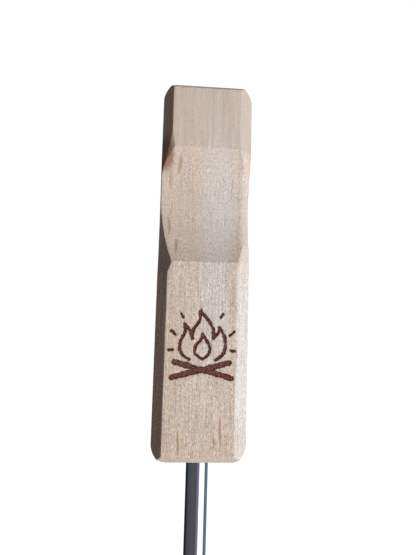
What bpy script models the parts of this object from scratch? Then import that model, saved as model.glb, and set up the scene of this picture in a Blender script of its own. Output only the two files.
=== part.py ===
"""Telescoping roasting fork: a wooden block handle, a six-section steel shaft and a two-prong wire fork.

Frame: metres, +Z up. The fork lies closed on the handle's flat back, whose centre is the origin.
+X runs across the handle, and +Y from the points of the prongs to the butt of the handle.
Along the shaft, "out" is the distance from the handle's shaft end towards the points.
"""

from math import cos, pi, radians, sin, sqrt

import bmesh
import bpy
from mathutils import Matrix, Vector

# Handle block
HANDLE_LENGTH = 0.134
HANDLE_WIDTH = 0.033
HANDLE_THICKNESS = 0.025
LONG_CHAMFER = 0.0040
UPRIGHT_CHAMFER = 0.0034
SHAFT_END_CHAMFER = 0.0026
BUTT_END_CHAMFER = 0.0014

# Thumb scoop across the front of the handle
SCOOP_LENGTH = 0.0415
SCOOP_DEPTH = 0.0050
SCOOP_FROM_BUTT = 0.0238
SCOOP_EDGE_EASE = 0.0011
SCOOP_EASE_RUN = 0.0042
SCOOP_SEGMENTS = 160

# Telescoping shaft
SECTION_COUNT = 6
OUTER_RADIUS = 0.0040
TUBE_WALL = 0.0003
SLIDE_GAP = 0.0002
TUBE_REACH = 0.072
HEAD_STEP = 0.003
FOOT_STEP = 0.0015
LIP_LENGTH = 0.0010
LIP_GAP = 0.00006
LIP_ROUND = 0.00022
LIP_ROUND_STEPS = 4
FLANGE_LENGTH = 0.0008
FLANGE_GAP = 0.00007
SHAFT_SIDES = 48

# Seat of the outer tube in the handle, and the plug in its foot
BORE_DEPTH = 0.100
GLUE_GAP = 0.00015
SEAT_GAP = 0.0003
PLUG_LENGTH = 0.0060
PLUG_GAP = 0.0001
PLUG_CHAMFER = 0.0004

# Friction shims round the foot of each sliding section, two halves each
SHIM_LENGTH = 0.014
SHIM_GAP = 0.00005
SHIM_END_GAP = 0.0002
SHIM_HALF_ANGLE = radians(84)
SHIM_ARC_POINTS = 22

# Fork and the collar that joins it to the last section
COLLAR_WALL = 0.0016
COLLAR_NOSE_WALL = 0.00155
COLLAR_CHAMFER = 0.0007
COLLAR_SOCKET = 0.0070
COLLAR_FIT = 0.0001
ROD_END_GAP = 0.0003
WIRE_RADIUS = 0.0014
WIRE_FIT = 0.00015
WIRE_STRAIGHT = 0.0008
PRONG_SPACING = 0.026
PRONG_LENGTH = 0.083
SHOULDER_STEPS = 9
WIRE_BEVEL_STEPS = 4
WIRE_HOLE_SIDES = 32
POINT_LENGTH = 0.010
POINT_RADIUS = 0.00015

MERGE = 0.000001
OVERCUT = 0.005
SHARP_ANGLE = radians(35)
EMPTY_SIZE = 0.01

# Where things stand on the shaft's axis, worked out from the sizes above
AXIS_HEIGHT = HANDLE_THICKNESS / 2
TUBE_FOOT = SEAT_GAP - BORE_DEPTH
BUTT_Y = HANDLE_LENGTH / 2
SHAFT_END_Y = -HANDLE_LENGTH / 2


def section_radius(number):
    """Outer radius of a section, counted from 1 for the fixed outer tube."""
    return OUTER_RADIUS - (number - 1) * (TUBE_WALL + SLIDE_GAP)


def section_bore(number):
    return section_radius(number) - TUBE_WALL


def section_foot(number):
    """How far out the foot of a sliding section stands when the fork is closed."""
    return TUBE_FOOT + PLUG_LENGTH + SEAT_GAP + (number - 2) * FOOT_STEP


def section_mouth(number):
    """How far out the mouth of a tube section stands when the fork is closed."""
    return TUBE_REACH + (number - 1) * HEAD_STEP


def collar_socket_radius():
    return section_radius(SECTION_COUNT) + COLLAR_FIT


def collar_radius():
    """The collar keeps its wall round the rod's socket or the wire's hole, whichever is larger."""
    return max(collar_socket_radius(), WIRE_RADIUS + WIRE_FIT) + COLLAR_WALL


def collar_length():
    """The rod's socket, and a nose with the wire's hole midway along it."""
    return COLLAR_SOCKET + 2 * (WIRE_RADIUS + WIRE_FIT + COLLAR_NOSE_WALL)


def collar_out():
    """How far out the collar's rear face stands: one step past the last tube's mouth."""
    return section_mouth(SECTION_COUNT)


def wire_out():
    """How far out the wire crosses the shaft's axis."""
    return collar_out() + (COLLAR_SOCKET + collar_length()) / 2


def clear_objects():
    for old in list(bpy.data.objects):
        bpy.data.objects.remove(old, do_unlink=True)


def new_collection(name):
    collection = bpy.data.collections.new(name)
    bpy.context.scene.collection.children.link(collection)
    return collection


def new_material(name, color, roughness, metallic=0.0):
    material = bpy.data.materials.new(name)
    material.use_nodes = True
    shader = material.node_tree.nodes["Principled BSDF"]
    shader.inputs["Base Color"].default_value = (*color, 1.0)
    shader.inputs["Roughness"].default_value = roughness
    shader.inputs["Metallic"].default_value = metallic
    return material


def add_object(name, data, collection, material=None, parent=None, location=(0, 0, 0)):
    thing = bpy.data.objects.new(name, data)
    collection.objects.link(thing)
    thing.parent = parent
    thing.location = location
    if material:
        data.materials.append(material)
    return thing


def add_empty(name, collection, parent=None, location=(0, 0, 0)):
    empty = add_object(name, None, collection, parent=parent, location=location)
    empty.empty_display_size = EMPTY_SIZE
    return empty


def shade_round(mesh):
    mesh.shade_smooth()
    mesh.set_sharp_from_angle(angle=SHARP_ANGLE)


# Turned pieces


def add_turned(name, profile, closed, collection, material, parent, out):
    """Turn a profile of (radius, height) points about the shaft's axis.

    The points run down the outside first. An open profile starts and ends on the axis.
    """
    mesh = bpy.data.meshes.new(name)
    points = [(radius, 0, height) for radius, height in profile]
    edges = [(i, i + 1) for i in range(len(points) - 1)]
    if closed:
        edges.append((len(points) - 1, 0))
    mesh.from_pydata(points, edges, [])
    turned = add_object(name, mesh, collection, material, parent, (0, 0, out))
    screw = turned.modifiers.new("turn", "SCREW")
    screw.steps = SHAFT_SIDES
    screw.render_steps = SHAFT_SIDES
    screw.use_merge_vertices = True
    screw.merge_threshold = MERGE
    screw.use_smooth_shade = True
    return turned


def mouth_profile(radius, length, lip_radius):
    """The rolled-in mouth of a tube: over its rounded rim and down to the full outer radius."""
    rim = []
    for i in range(LIP_ROUND_STEPS + 1):
        angle = pi / 2 * i / LIP_ROUND_STEPS
        rim.append((radius - LIP_ROUND * (1 - sin(angle)), length - LIP_ROUND * (1 - cos(angle))))
    return [(lip_radius, length)] + rim


def tube_profile(number, length):
    """Wall of a tube section: rolled-in mouth at the top, and a flange at the foot of a sliding one."""
    radius = section_radius(number)
    bore = section_bore(number)
    lip_radius = section_radius(number + 1) + LIP_GAP
    outside = mouth_profile(radius, length, lip_radius)
    if number > 1:
        flange_radius = section_bore(number - 1) - FLANGE_GAP
        outside += [(radius, FLANGE_LENGTH), (flange_radius, FLANGE_LENGTH), (flange_radius, 0)]
    else:
        outside += [(radius, 0)]
    inside = [(bore, 0), (bore, length - LIP_LENGTH), (lip_radius, length - LIP_LENGTH)]
    return outside + inside


def rod_profile(number, length):
    radius = section_radius(number)
    flange_radius = section_bore(number - 1) - FLANGE_GAP
    return [
        (0, length),
        (radius, length),
        (radius, FLANGE_LENGTH),
        (flange_radius, FLANGE_LENGTH),
        (flange_radius, 0),
        (0, 0),
    ]


def plug_profile():
    radius = section_bore(1) - PLUG_GAP
    return [
        (0, PLUG_LENGTH),
        (radius - PLUG_CHAMFER, PLUG_LENGTH),
        (radius, PLUG_LENGTH - PLUG_CHAMFER),
        (radius, 0),
        (0, 0),
    ]


def collar_profile():
    """A small boss, chamfered at both rims, with a blind socket for the rod in its rear face."""
    radius = collar_radius()
    socket = collar_socket_radius()
    length = collar_length()
    return [
        (0, length),
        (radius - COLLAR_CHAMFER, length),
        (radius, length - COLLAR_CHAMFER),
        (radius, COLLAR_CHAMFER),
        (radius - COLLAR_CHAMFER, 0),
        (socket, 0),
        (socket, COLLAR_SOCKET),
        (0, COLLAR_SOCKET),
    ]


# Cutters


def add_cutter(name, mesh, collection):
    shade_round(mesh)
    cutter = add_object(name, mesh, collection)
    cutter.hide_render = True
    cutter.display_type = "WIRE"
    return cutter


def cylinder_mesh(name, radius, length, sides, start, direction):
    """A closed cylinder that runs from start along direction."""
    mesh = bpy.data.meshes.new(name)
    bm = bmesh.new()
    bmesh.ops.create_cone(
        bm, cap_ends=True, segments=sides, radius1=radius, radius2=radius, depth=length
    )
    middle = Vector(start) + direction * length / 2
    turn = Vector((0, 0, 1)).rotation_difference(direction).to_matrix().to_4x4()
    bmesh.ops.transform(bm, matrix=Matrix.Translation(middle) @ turn, verts=bm.verts)
    bm.to_mesh(mesh)
    bm.free()
    return mesh


def cut(target, cutter):
    difference = target.modifiers.new("cut " + cutter.name, "BOOLEAN")
    difference.operation = "DIFFERENCE"
    difference.object = cutter
    difference.solver = "EXACT"


# Handle


def handle_block_mesh():
    """A cuboid with all twelve edges chamfered by plane cuts."""
    mesh = bpy.data.meshes.new("handle")
    bm = bmesh.new()
    bmesh.ops.create_cube(bm, size=1)
    bmesh.ops.scale(bm, vec=(HANDLE_WIDTH, HANDLE_LENGTH, HANDLE_THICKNESS), verts=bm.verts)
    bmesh.ops.translate(bm, vec=(0, 0, HANDLE_THICKNESS / 2), verts=bm.verts)
    middle = Vector((0, 0, HANDLE_THICKNESS / 2))
    half = Vector((HANDLE_WIDTH, HANDLE_LENGTH, HANDLE_THICKNESS)) / 2
    for edge, chamfer in chamfered_edges():
        normal = edge.normalized()
        slice_off(bm, middle + half * edge - normal * chamfer / sqrt(2), normal)
    bmesh.ops.recalc_face_normals(bm, faces=bm.faces)
    bm.to_mesh(mesh)
    bm.free()
    return mesh


def chamfered_edges():
    """Each edge of the block, as the way it lies from the block's middle, and its chamfer's leg."""
    edges = []
    for a in (-1, 1):
        for b in (-1, 1):
            edges.append((Vector((a, 0, b)), LONG_CHAMFER))
            edges.append((Vector((a, b, 0)), UPRIGHT_CHAMFER))
        edges.append((Vector((0, -1, a)), SHAFT_END_CHAMFER))
        edges.append((Vector((0, 1, a)), BUTT_END_CHAMFER))
    return edges


def slice_off(bm, point, normal):
    """Remove what lies beyond a plane and close the flat left behind."""
    geometry = bm.verts[:] + bm.edges[:] + bm.faces[:]
    bmesh.ops.bisect_plane(
        bm, geom=geometry, dist=MERGE, plane_co=point, plane_no=normal, clear_outer=True
    )
    rim = [edge for edge in bm.edges if edge.is_boundary]
    bmesh.ops.holes_fill(bm, edges=rim, sides=0)


def scoop_radius():
    return ((SCOOP_LENGTH / 2) ** 2 + SCOOP_DEPTH**2) / (2 * SCOOP_DEPTH)


def scoop_middle_y():
    return BUTT_Y - SCOOP_FROM_BUTT - SCOOP_LENGTH / 2


def scoop_cutter_mesh():
    length = HANDLE_WIDTH + 2 * OVERCUT
    floor = HANDLE_THICKNESS - SCOOP_DEPTH
    start = (-length / 2, scoop_middle_y(), floor + scoop_radius())
    return cylinder_mesh("scoop", scoop_radius(), length, SCOOP_SEGMENTS, start, Vector((1, 0, 0)))


def scoop_ease_mesh(side):
    """A shallow wedge that widens the long chamfer along the scoop and fades out past its ridges."""
    mesh = bpy.data.meshes.new("scoop_ease")
    bm = bmesh.new()
    bmesh.ops.create_cube(bm, size=1)
    spread = LONG_CHAMFER + 2 * OVERCUT
    height = SCOOP_EDGE_EASE + OVERCUT
    top_length = SCOOP_LENGTH + 2 * SCOOP_EASE_RUN * height / SCOOP_EDGE_EASE
    for vert in bm.verts:
        length = top_length if vert.co.z > 0 else SCOOP_LENGTH
        top = height - SCOOP_EDGE_EASE if vert.co.z > 0 else -SCOOP_EDGE_EASE
        vert.co = Vector((vert.co.x * spread, vert.co.y * length, top))
    middle = Vector(
        (side * (HANDLE_WIDTH - LONG_CHAMFER) / 2, scoop_middle_y(), HANDLE_THICKNESS - LONG_CHAMFER / 2)
    )
    tilt = Matrix.Rotation(side * radians(45), 4, "Y")
    bmesh.ops.transform(bm, matrix=Matrix.Translation(middle) @ tilt, verts=bm.verts)
    bm.to_mesh(mesh)
    bm.free()
    return mesh


def bore_cutter_mesh():
    radius = OUTER_RADIUS + GLUE_GAP
    start = (0, SHAFT_END_Y - OVERCUT, AXIS_HEIGHT)
    return cylinder_mesh("bore", radius, BORE_DEPTH + OVERCUT, SHAFT_SIDES, start, Vector((0, 1, 0)))


def build_handle(collection, cutters, material):
    handle = add_object("handle", handle_block_mesh(), collection, material)
    cut(handle, add_cutter("scoop_cutter", scoop_cutter_mesh(), cutters))
    for word, side in (("left", -1), ("right", 1)):
        cut(handle, add_cutter("scoop_ease_cutter_" + word, scoop_ease_mesh(side), cutters))
    cut(handle, add_cutter("bore_cutter", bore_cutter_mesh(), cutters))
    return handle


# Shaft


def build_outer_tube(collection, steel, plug_material, axis):
    length = section_mouth(1) - TUBE_FOOT
    add_turned("outer_tube", tube_profile(1, length), True, collection, steel, axis, TUBE_FOOT)
    add_turned("tube_plug", plug_profile(), False, collection, plug_material, axis, TUBE_FOOT)


def add_shim_half(name, number, turn, collection, material, parent):
    """Half of the springy sleeve that grips the bore of the section outside it."""
    inner = section_radius(number) + SHIM_GAP
    outer = section_bore(number - 1) - SHIM_GAP
    count = SHIM_ARC_POINTS
    angles = [turn - SHIM_HALF_ANGLE + 2 * SHIM_HALF_ANGLE * i / (count - 1) for i in range(count)]
    outline = [(outer * cos(a), outer * sin(a)) for a in angles]
    outline += [(inner * cos(a), inner * sin(a)) for a in reversed(angles)]
    curve = bpy.data.curves.new(name, "CURVE")
    curve.dimensions = "2D"
    curve.fill_mode = "BOTH"
    curve.extrude = SHIM_LENGTH / 2
    spline = curve.splines.new("POLY")
    spline.points.add(len(outline) - 1)
    for point, (x, y) in zip(spline.points, outline):
        point.co = (x, y, 0, 1)
    spline.use_cyclic_u = True
    middle = FLANGE_LENGTH + SHIM_END_GAP + SHIM_LENGTH / 2
    return add_object(name, curve, collection, material, parent, (0, 0, middle))


def build_sliding_section(number, collection, steel, bronze, parent, parent_out):
    """One section with its two shims; it slides with the shims and spins inside them."""
    foot = section_foot(number)
    slide = add_empty(f"slide_{number}", collection, parent, (0, 0, foot - parent_out))
    spin = add_empty(f"spin_{number}", collection, slide)
    add_shim_half(f"shim_{number}_left", number, pi, collection, bronze, slide)
    add_shim_half(f"shim_{number}_right", number, 0, collection, bronze, slide)
    if number < SECTION_COUNT:
        profile = tube_profile(number, section_mouth(number) - foot)
        add_turned(f"section_{number}", profile, True, collection, steel, spin, 0)
    else:
        profile = rod_profile(number, collar_out() + COLLAR_SOCKET - ROD_END_GAP - foot)
        add_turned("end_rod", profile, False, collection, steel, spin, 0)
    return spin


# Fork


def fork_half_path():
    """One prong from the middle of the fork to its point, as (across, out, thickness) triples."""
    across = PRONG_SPACING / 2
    bend_start = collar_radius() + WIRE_STRAIGHT
    shoulder = across - bend_start
    points = [(bend_start, 0, 1)]
    for i in range(1, SHOULDER_STEPS + 1):
        angle = pi / 2 * i / SHOULDER_STEPS
        points.append((bend_start + shoulder * sin(angle), shoulder * (1 - cos(angle)), 1))
    points.append((across, PRONG_LENGTH - POINT_LENGTH, 1))
    points.append((across, PRONG_LENGTH, POINT_RADIUS / WIRE_RADIUS))
    return points


def build_fork_wire(collection, steel, parent, parent_out):
    """One bent wire: the base passes through the collar and both ends are ground to points."""
    half = fork_half_path()
    path = [(-x, z, thickness) for x, z, thickness in reversed(half)] + half
    curve = bpy.data.curves.new("fork_wire", "CURVE")
    curve.dimensions = "3D"
    curve.bevel_depth = WIRE_RADIUS
    curve.bevel_resolution = WIRE_BEVEL_STEPS
    curve.use_fill_caps = True
    spline = curve.splines.new("POLY")
    spline.points.add(len(path) - 1)
    for point, (x, z, thickness) in zip(spline.points, path):
        point.co = (x, 0, z, 1)
        point.radius = thickness
    return add_object("fork_wire", curve, collection, steel, parent, (0, 0, wire_out() - parent_out))


def build_collar(collection, cutters, steel, parent, parent_out):
    out = collar_out()
    collar = add_turned(
        "fork_collar", collar_profile(), False, collection, steel, parent, out - parent_out
    )
    length = 2 * (collar_radius() + OVERCUT)
    start = (-length / 2, 0, wire_out() - out)
    radius = WIRE_RADIUS + WIRE_FIT
    hole = cylinder_mesh("wire_hole", radius, length, WIRE_HOLE_SIDES, start, Vector((1, 0, 0)))
    cutter = add_cutter("wire_hole_cutter", hole, cutters)
    cutter.parent = collar
    cut(collar, cutter)
    return collar


def build():
    clear_objects()
    fork = new_collection("roasting_fork")
    cutters = new_collection("cutters")
    wood = new_material("maple_wood", (0.58, 0.47, 0.38), 0.55)
    steel = new_material("polished_steel", (0.62, 0.63, 0.65), 0.16, 1.0)
    bronze = new_material("spring_bronze", (0.55, 0.38, 0.18), 0.35, 1.0)
    nylon = new_material("black_nylon", (0.02, 0.02, 0.022), 0.6)

    build_handle(fork, cutters, wood)
    axis = add_empty("shaft_axis", fork, location=(0, SHAFT_END_Y, AXIS_HEIGHT))
    axis.rotation_euler = (radians(90), 0, 0)
    build_outer_tube(fork, steel, nylon, axis)

    parent = axis
    parent_out = 0
    for number in range(2, SECTION_COUNT + 1):
        parent = build_sliding_section(number, fork, steel, bronze, parent, parent_out)
        parent_out = section_foot(number)
    build_fork_wire(fork, steel, parent, parent_out)
    build_collar(fork, cutters, steel, parent, parent_out)

    for thing in fork.objects:
        if thing.type == "MESH":
            shade_round(thing.data)


build()
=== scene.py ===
"""Telescoping roasting fork: maple block handle, six-section steel shaft and a two-prong wire fork.

Metres, +Z up. The fork lies closed on the handle's flat back. +Y runs from the prongs to the butt of
the handle, and the shaft's axis runs along Y through the middle of the handle's shaft end.
"""

from math import cos, floor, pi, radians, sin, sqrt

import bmesh
import bpy
import numpy as np
from bpy.props import FloatProperty, FloatVectorProperty, IntProperty, PointerProperty
from mathutils import Euler, Matrix, Vector, noise


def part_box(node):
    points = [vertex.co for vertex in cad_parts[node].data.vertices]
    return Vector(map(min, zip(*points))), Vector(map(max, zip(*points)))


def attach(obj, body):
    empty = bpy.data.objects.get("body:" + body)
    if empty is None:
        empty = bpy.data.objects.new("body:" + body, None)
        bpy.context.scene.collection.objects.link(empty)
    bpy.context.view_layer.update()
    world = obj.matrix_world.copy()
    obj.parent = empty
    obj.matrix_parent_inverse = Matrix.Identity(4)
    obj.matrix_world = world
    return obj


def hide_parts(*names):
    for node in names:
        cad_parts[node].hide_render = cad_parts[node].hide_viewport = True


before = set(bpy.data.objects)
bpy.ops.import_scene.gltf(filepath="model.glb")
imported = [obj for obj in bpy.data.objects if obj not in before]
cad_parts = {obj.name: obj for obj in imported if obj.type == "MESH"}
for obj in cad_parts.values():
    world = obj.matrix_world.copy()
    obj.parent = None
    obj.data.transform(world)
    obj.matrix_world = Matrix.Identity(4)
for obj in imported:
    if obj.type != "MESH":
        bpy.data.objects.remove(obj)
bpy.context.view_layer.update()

bl_info = {
    "name": "Telescoping roasting fork",
    "version": (1, 0, 0),
    "blender": (4, 5, 0),
    "location": "3D View > Sidebar > Roasting fork",
    "description": "Builds a roasting fork with a maple handle and a telescoping steel shaft",
    "category": "Object",
}

MM = 0.001
AXIS = sum(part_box("outer_tube"), Vector()) / 2
# The shaft's CAD nodes from the outside in, and the body that each rides on
SECTIONS = {
    "outer_tube": "handle_and_tube",
    "section_2": "tube_2",
    "section_3": "tube_3",
    "section_4": "tube_4",
    "section_5": "tube_5",
    "end_rod": "fork_and_rod",
}


# Sizes and colours


def length_prop(name, description, millimetres):
    return FloatProperty(
        name=name, description=description, default=millimetres * MM, min=0, precision=5,
        subtype="DISTANCE", unit="LENGTH",
    )


def power_prop(name, description, watts):
    return FloatProperty(name=name, description=description, default=watts, min=0, unit="POWER")


def color_prop(name, description, default):
    return FloatVectorProperty(
        name=name, description=description, default=default, min=0, max=1, size=3, subtype="COLOR"
    )


class HandleSettings(bpy.types.PropertyGroup):
    left_chamfer: length_prop("Left chamfer", "Leg of the long chamfer on the left", 3.75)
    right_chamfer: length_prop("Right chamfer", "Leg of the long chamfer on the right", 4.4)
    back_chamfer: length_prop("Back chamfers", "Leg of the two long chamfers behind", 4.0)
    shaft_corner: length_prop("Shaft-end corner chamfers", "Leg of the two corner chamfers there", 3.4)
    butt_corner: length_prop("Butt-end corner chamfers", "Leg of the two corner chamfers there", 3.0)
    shaft_chamfer: length_prop("Shaft-end chamfer", "Leg of the chamfers at the shaft end", 2.6)
    butt_chamfer: length_prop("Butt-end chamfer", "Leg of the chamfers at the butt end", 1.4)
    edge_round: length_prop("Eased edges", "Radius that sanding left on every edge", 0.55)
    shaft_round: length_prop("Shaft-end corners", "Rounding of the corner chamfers at the shaft end", 5.7)
    butt_round: length_prop("Butt-end corners", "Rounding of the corner chamfers at the butt end", 4.9)
    scoop_length: length_prop("Scoop length", "Length of the thumb scoop between its ridges", 41.5)
    scoop_depth: length_prop("Scoop depth", "Depth of the thumb scoop at its middle", 5.0)
    scoop_from_butt: length_prop("Scoop from butt", "Butt end to the nearer ridge", 23.8)
    soft_corner: length_prop("Soft corner", "Radius of the rubbed right corner of the scoop", 4.4)
    worn_side: length_prop("Worn side", "Wood rubbed off the right side at the middle of the scoop", 0.25)
    bore_radius: length_prop("Bore radius", "Radius of the hole that holds the outer tube", 4.15)
    bore_depth: length_prop("Bore depth", "Depth of the hole that holds the outer tube", 100)
    mark_depth: length_prop("Mark depth", "Depth of the burnt-in campfire", 0.28)
    maple: color_prop("Maple", "Sanded maple", (0.537, 0.447, 0.381))
    # Painted sheen: the cooler, paler band across the middle of the front
    sheen_band: color_prop("Grey band", "Cooler band along the middle of the block", (0.552, 0.505, 0.478))
    # Painted sheen: a paler, cooler tint on the lower right chamfer
    chamfer_sheen: color_prop("Rubbed edge", "Paler wood along the right chamfer", (0.455, 0.44, 0.43))
    # Painted shade: a greyer, darker tint on the right chamfer, from the scoop up to the butt
    wear_and_shade: color_prop("Worn edge", "Greyer wood along the upper right chamfer", (0.40, 0.352, 0.315))
    # A browner, darker tint on the left edge beside the scoop's upper ridge
    browner_edge: color_prop("Handled edge", "Tint where handling has browned an edge", (0.52, 0.37, 0.275))
    # Also used as painted shade towards the shaft end
    late_wood_and_shade: color_prop("Growth lines", "Darker late wood between the years", (0.43, 0.325, 0.25))
    # Also used as painted shade on the left chamfer towards the butt
    streak_and_shade: color_prop("Mineral streaks", "Short brown mineral streaks", (0.34, 0.215, 0.118))
    end_grain: color_prop("End grain", "Sawn end faces", (0.42, 0.34, 0.28))
    char: color_prop("Char", "Edges of the burnt mark", (0.046, 0.015, 0.012))
    scorch: color_prop("Scorch", "Floor of the burnt mark", (0.185, 0.080, 0.066))


class ShaftSettings(bpy.types.PropertyGroup):
    outer_radius: length_prop("Outer radius", "Radius of the fixed outer tube", 4.0)
    wall: length_prop("Wall", "Wall of each tube", 0.3)
    slide_gap: length_prop("Sliding gap", "Gap between one section and the next", 0.2)
    lip_length: length_prop("Lip length", "Length of the rolled-in mouth", 1.0)
    lip_gap: length_prop("Lip gap", "Gap between a mouth and the section inside it", 0.06)
    lip_round: length_prop("Lip rounding", "Radius of the rolled rim", 0.22)
    flange_length: length_prop("Flange length", "Length of the flange at each foot", 0.8)
    flange_gap: length_prop("Flange gap", "Gap round the flange", 0.07)
    sides: IntProperty(name="Sides", description="Facets round each turned piece", default=96, min=24)
    steel: color_prop("Shaft steel", "Polished stainless tube", (0.60, 0.615, 0.64))
    bronze: color_prop("Shim bronze", "Spring bronze of the friction shims", (0.55, 0.36, 0.16))
    nylon: color_prop("Plug nylon", "Black nylon of the plug", (0.018, 0.018, 0.02))


class ForkSettings(bpy.types.PropertyGroup):
    wire_radius: length_prop("Wire radius", "Radius of the fork's wire", 1.4)
    point_length: length_prop("Point length", "Length of each ground point", 10)
    point_radius: length_prop("Point radius", "Radius that is left at each point", 0.15)
    straight: length_prop("Straight base", "Straight wire beside the collar", 0.8)
    collar_chamfer: length_prop("Collar chamfer", "Leg of the collar's chamfers", 0.7)
    braze: length_prop("Braze fillet", "Leg of the brazed fillets at the collar", 0.7)
    wire_sides: IntProperty(name="Sides", description="Facets round the wire", default=32, min=12)
    steel: color_prop("Wire steel", "Drawn stainless wire", (0.55, 0.56, 0.575))
    ground: color_prop("Ground steel", "Fresh ground points", (0.66, 0.665, 0.67))
    silver: color_prop("Braze", "Silver braze", (0.62, 0.59, 0.50))


class StageSettings(bpy.types.PropertyGroup):
    floor_half: length_prop("Floor", "Half the width of the floor", 3000)
    bounce: color_prop("Floor light", "Soft light that the floor sends back up", (0.585, 0.468, 0.42))
    key_power: power_prop("Key power", "Power of the key softbox", 50)
    card_power: power_prop("Card power", "Power of the side card", 2.5)


# Shader maths and nodes


class Value:
    """A socket that takes part in expressions: each operator adds one Math node."""

    def __init__(self, nodes, socket):
        self.nodes = nodes
        self.socket = socket

    def math(self, operation, *values):
        inputs = dict(enumerate(values))
        return self.nodes.make("ShaderNodeMath", inputs, operation=operation)

    def out(self, key):
        """Another output of the same node."""
        return Value(self.nodes, self.socket.node.outputs[key])

    def __add__(self, other):
        return self.math("ADD", self, other)

    def __sub__(self, other):
        return self.math("SUBTRACT", self, other)

    def __rsub__(self, other):
        return self.math("SUBTRACT", other, self)

    def __mul__(self, other):
        return self.math("MULTIPLY", self, other)

    def __truediv__(self, other):
        return self.math("DIVIDE", self, other)

    __radd__ = __add__
    __rmul__ = __mul__

    def __abs__(self):
        return self.math("ABSOLUTE", self)

    def __floordiv__(self, other):
        return self.math("FLOOR", self / other)

    def __mod__(self, other):
        return self.math("FLOORED_MODULO", self, other)

    def step(self, start, end, low=0, high=1):
        """A smooth step from low at start to high at end."""
        inputs = {"Value": self, 1: start, 2: end, 3: low, 4: high}
        return self.nodes.make("ShaderNodeMapRange", inputs, interpolation_type="SMOOTHSTEP")


class Nodes:
    """Adds nodes to one tree."""

    def __init__(self, tree):
        self.tree = tree

    def make(self, kind, inputs=None, **settings):
        """Add a node of a type, set its settings, set or link its sockets, and give its first output."""
        node = self.tree.nodes.new(kind)
        for name, value in settings.items():
            if name == "stops":
                self.set_stops(node.color_ramp, value)
            else:
                setattr(node, name, value)
        for key, value in (inputs or {}).items():
            if isinstance(value, Value):
                self.tree.links.new(value.socket, node.inputs[key])
            else:
                node.inputs[key].default_value = value
        return Value(self, node.outputs[0]) if node.outputs else None

    def set_stops(self, ramp, stops):
        while len(ramp.elements) < len(stops):
            ramp.elements.new(1)
        for element, (position, color) in zip(ramp.elements, stops):
            element.position = position
            element.color = (*color, 1)

    def mix(self, factor, a, b, blend="MIX"):
        """One colour over another."""
        a, b = (c if isinstance(c, Value) else (*c, 1) for c in (a, b))
        inputs = {0: factor, 6: a, 7: b}
        return self.make("ShaderNodeMix", inputs, data_type="RGBA", blend_type=blend).out(2)

    def noise(self, vector, scale, detail=2):
        inputs = {"Vector": vector, "Scale": scale, "Detail": detail}
        return self.make("ShaderNodeTexNoise", inputs)

    def grain(self, vector, stretch, detail=2):
        """Noise with its own scale along each axis."""
        inputs = {"Vector": vector, "Scale": stretch}
        return self.noise(self.make("ShaderNodeMapping", inputs), 1, detail)

    def place(self):
        """Object coordinates in millimetres."""
        here = self.make("ShaderNodeTexCoord").out("Object")
        return self.make("ShaderNodeVectorMath", {0: here, "Scale": 1000}, operation="SCALE")

    def split(self, vector):
        """A vector's three values."""
        parts = self.make("ShaderNodeSeparateXYZ", {0: vector})
        return [parts.out(i) for i in range(3)]

    def join(self, x, y, z):
        """A vector made of three values."""
        return self.make("ShaderNodeCombineXYZ", {0: x, 1: y, 2: z})

    def length(self, vector):
        return self.make("ShaderNodeVectorMath", {0: vector}, operation="LENGTH").out(1)

    def bump(self, height, strength, distance):
        inputs = {"Strength": strength, "Distance": distance, "Height": height}
        return self.make("ShaderNodeBump", inputs)

    def attribute(self, name):
        made = self.make("ShaderNodeAttribute", attribute_type="GEOMETRY", attribute_name=name)
        return made.out("Fac")


def new_material(name):
    """An empty material and its nodes."""
    material = bpy.data.materials.new(name)
    material.use_nodes = True
    material.node_tree.nodes.clear()
    return material, Nodes(material.node_tree)


def finish_material(nodes, **inputs):
    """End a tree in a Principled shader. Underscores stand for spaces in its sockets' names."""
    sockets = {}
    for key, value in inputs.items():
        sockets[key.replace("_", " ")] = (*value, 1) if isinstance(value, tuple) else value
    shader = nodes.make("ShaderNodeBsdfPrincipled", sockets)
    nodes.make("ShaderNodeOutputMaterial", {"Surface": shader})


def mottled_material(name, base, patch, patches, grain, roughness, relief, metallic=1.0):
    """A small part's finish: patches of a second colour, and a fine grain that roughens it.

    patches is the patches' scale and detail, then the noise where they start and are full. grain is the
    grain's stretch and detail, roughness its least and how much the grain adds, and relief the bump's
    strength and depth.
    """
    material, nodes = new_material(name)
    place = nodes.place()
    scale, detail, start, end = patches
    spread = nodes.noise(place, scale, detail).step(start, end)
    fine = nodes.grain(place, *grain)
    smoothest, added = roughness
    finish_material(
        nodes,
        Base_Color=nodes.mix(spread * 0.5, base, patch),
        Metallic=metallic,
        Roughness=smoothest + fine * added,
        Normal=nodes.bump(fine, *relief),
    )
    return material


# Wood

# Stretch of each texture along x, y and z, in cycles per millimetre
DRIFT = (0.05, 0.014, 0.05)
BROAD = (0.11, 0.022, 0.11)
FIBRE = (2.7, 0.08, 2.7)
FLECK = (3.3, 1.3, 3.3)
FINE = (4.4, 2.9, 4.4)
SPECK = (3.1, 2.0, 3.1)
WANDER = (0.3, 0.35, 0.3)
PORE = (5, 0.2, 5)
RAGGED = (2.2, 1.5, 2.2)
# Where a change starts and ends along the handle, in millimetres, +Y to the butt
LOWER_FLAT = (6, -2)
BAND_EDGE = (4, -3)
UPPER_FLAT = (46, 42)
SAWN_ENDS = (66.3, 66.95)
# The same up from the flat back, and across to the right edge and the left
FRONT_BAND = (11, 17.5)
RIGHT_EDGE = (11.3, 12.5)
LEFT_EDGE = (-10.8, -12.8)
# The years' rings on the sawn ends: their middle across and up from the flat back, and their spacing
PITH = (-21, -30)
RING = 2.6
# Where the block is browner and darker, and how fast that fades along each axis
BROWNER_EDGE_AT = (-15.2, 41, 23)
BROWNER_EDGE_FADE = (1.25, 0.62, 1)
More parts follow.
